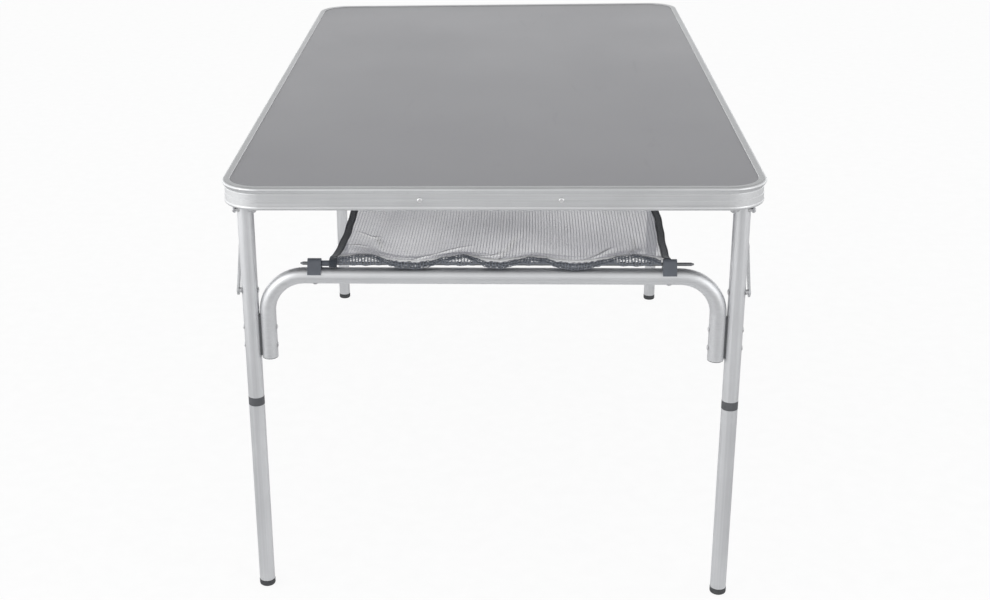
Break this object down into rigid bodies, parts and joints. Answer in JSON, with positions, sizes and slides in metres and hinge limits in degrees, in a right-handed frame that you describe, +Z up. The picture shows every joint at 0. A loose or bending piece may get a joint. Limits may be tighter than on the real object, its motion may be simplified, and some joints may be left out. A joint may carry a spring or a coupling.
{
  "type": "camp kitchen table",
  "caption": "Rectangular camp kitchen table with aluminium rim, grey panel, inward-folding tube leg frames, folding stays, pull-off lower legs and a net shelf.",
  "frame": {"origin": "on the floor under the middle of the table top", "axes": "+Z up, +Y along the long side of the top, +X across it"},
  "size_m": [0.8027, 1.4, 0.7],
  "materials": {
    "rim_aluminium": "satin anodised",
    "tube_aluminium": "satin anodised",
    "rail_aluminium": "mill finish",
    "panel_laminate": "fine matt laminate",
    "steel_plate": "zinc plated",
    "bracket_cast": "cast, tumbled",
    "stay_steel": "zinc plated",
    "rod_steel": "drawn",
    "rivet_steel": "zinc plated",
    "rivet_alu": "plain",
    "screw_steel": "bright",
    "handle_plastic": "soft grained",
    "dark_plastic": "moulded",
    "clip_plastic": "moulded",
    "foot_rubber": "moulded",
    "net_mesh": "open polyester net",
    "net_hem_mesh": "doubled polyester net",
    "net_webbing": "woven tape"
  },
  "bodies": {
    "table_top": {"rim_frame": "rim_aluminium", "top_panel": "panel_laminate", "rim_splice": "steel_plate", "carry_handle": "handle_plastic", "handle_screws": "screw_steel", "rail_screws": "screw_steel", "support_rail_left": "rail_aluminium", "support_rail_right": "rail_aluminium", "pivot_brackets": "bracket_cast", "stay_brackets": "steel_plate", "pivot_pins": "rivet_steel", "bracket_rivets": "rivet_alu", "stay_pivot_rivets": "rivet_steel", "storage_net": "net_mesh", "net_binding_left": "net_webbing", "net_binding_right": "net_webbing"},
    "front_legs": {"front_leg_tube_left": "tube_aluminium", "front_leg_tube_right": "tube_aluminium", "front_leg_head_plugs": "dark_plastic", "front_crossbar": "tube_aluminium", "front_crossbar_end_plugs": "dark_plastic", "front_crossbar_saddles": "dark_plastic", "front_leg_rivets": "rivet_alu", "front_stay_rivets": "rivet_steel", "front_net_clips": "clip_plastic", "front_clip_rivets": "rivet_alu", "front_net_rod": "rod_steel", "front_rod_stop": "clip_plastic", "front_net_hem": "net_hem_mesh"},
    "front_upper_stays": {"front_stay_upper_links": "stay_steel"},
    "front_lower_stays": {"front_stay_lower_links": "stay_steel", "front_knee_rivets": "rivet_steel"},
    "front_lower_leg_left": {"front_lower_tube_left": "tube_aluminium", "front_connector_left": "dark_plastic", "front_foot_left": "foot_rubber"},
    "front_lower_leg_right": {"front_lower_tube_right": "tube_aluminium", "front_connector_right": "dark_plastic", "front_foot_right": "foot_rubber"},
    "rear_legs": {"rear_leg_tube_left": "tube_aluminium", "rear_leg_tube_right": "tube_aluminium", "rear_leg_head_plugs": "dark_plastic", "rear_crossbar": "tube_aluminium", "rear_crossbar_end_plugs": "dark_plastic", "rear_crossbar_saddles": "dark_plastic", "rear_leg_rivets": "rivet_alu", "rear_stay_rivets": "rivet_steel", "rear_net_clips": "clip_plastic", "rear_clip_rivets": "rivet_alu", "rear_net_rod": "rod_steel", "rear_rod_stop": "clip_plastic", "rear_net_hem": "net_hem_mesh"},
    "rear_upper_stays": {"rear_stay_upper_links": "stay_steel"},
    "rear_lower_stays": {"rear_stay_lower_links": "stay_steel", "rear_knee_rivets": "rivet_steel"},
    "rear_lower_leg_left": {"rear_lower_tube_left": "tube_aluminium", "rear_connector_left": "dark_plastic", "rear_foot_left": "foot_rubber"},
    "rear_lower_leg_right": {"rear_lower_tube_right": "tube_aluminium", "rear_connector_right": "dark_plastic", "rear_foot_right": "foot_rubber"}
  },
  "joints": [
    {"name": "front_fold", "type": "hinge", "parent": "table_top", "child": "front_legs", "pos_m": [0, -0.653, 0.6525], "axis": [1, 0, 0], "range_deg": [0, 90]},
    {"name": "front_upper_stay_turn", "type": "hinge", "parent": "table_top", "child": "front_upper_stays", "pos_m": [0, -0.5505, 0.6605], "axis": [1, 0, 0], "range_deg": [0, 124.22]},
    {"name": "front_lower_stay_turn", "type": "hinge", "parent": "front_legs", "child": "front_lower_stays", "pos_m": [0, -0.645, 0.5205], "axis": [1, 0, 0], "range_deg": [-146.18, 0]},
    {"name": "front_left_leg_pull", "type": "slide", "parent": "front_legs", "child": "front_lower_leg_left", "axis": [0, 0, -1], "range_m": [0, 0.06]},
    {"name": "front_right_leg_pull", "type": "slide", "parent": "front_legs", "child": "front_lower_leg_right", "axis": [0, 0, -1], "range_m": [0, 0.06]},
    {"name": "rear_fold", "type": "hinge", "parent": "table_top", "child": "rear_legs", "pos_m": [0, 0.653, 0.6525], "axis": [1, 0, 0], "range_deg": [-90, 0]},
    {"name": "rear_upper_stay_turn", "type": "hinge", "parent": "table_top", "child": "rear_upper_stays", "pos_m": [0, 0.5505, 0.6605], "axis": [1, 0, 0], "range_deg": [-124.22, 0]},
    {"name": "rear_lower_stay_turn", "type": "hinge", "parent": "rear_legs", "child": "rear_lower_stays", "pos_m": [0, 0.645, 0.5205], "axis": [1, 0, 0], "range_deg": [0, 146.18]},
    {"name": "rear_left_leg_pull", "type": "slide", "parent": "rear_legs", "child": "rear_lower_leg_left", "axis": [0, 0, -1], "range_m": [0, 0.06]},
    {"name": "rear_right_leg_pull", "type": "slide", "parent": "rear_legs", "child": "rear_lower_leg_right", "axis": [0, 0, -1], "range_m": [0, 0.06]}
  ],
  "couplings": [
    {"joint": "front_upper_stay_turn", "follows": "front_fold", "ratio": 1.378},
    {"joint": "front_lower_stay_turn", "follows": "front_fold", "ratio": -1.622},
    {"joint": "rear_upper_stay_turn", "follows": "rear_fold", "ratio": 1.378},
    {"joint": "rear_lower_stay_turn", "follows": "rear_fold", "ratio": -1.622}
  ]
}
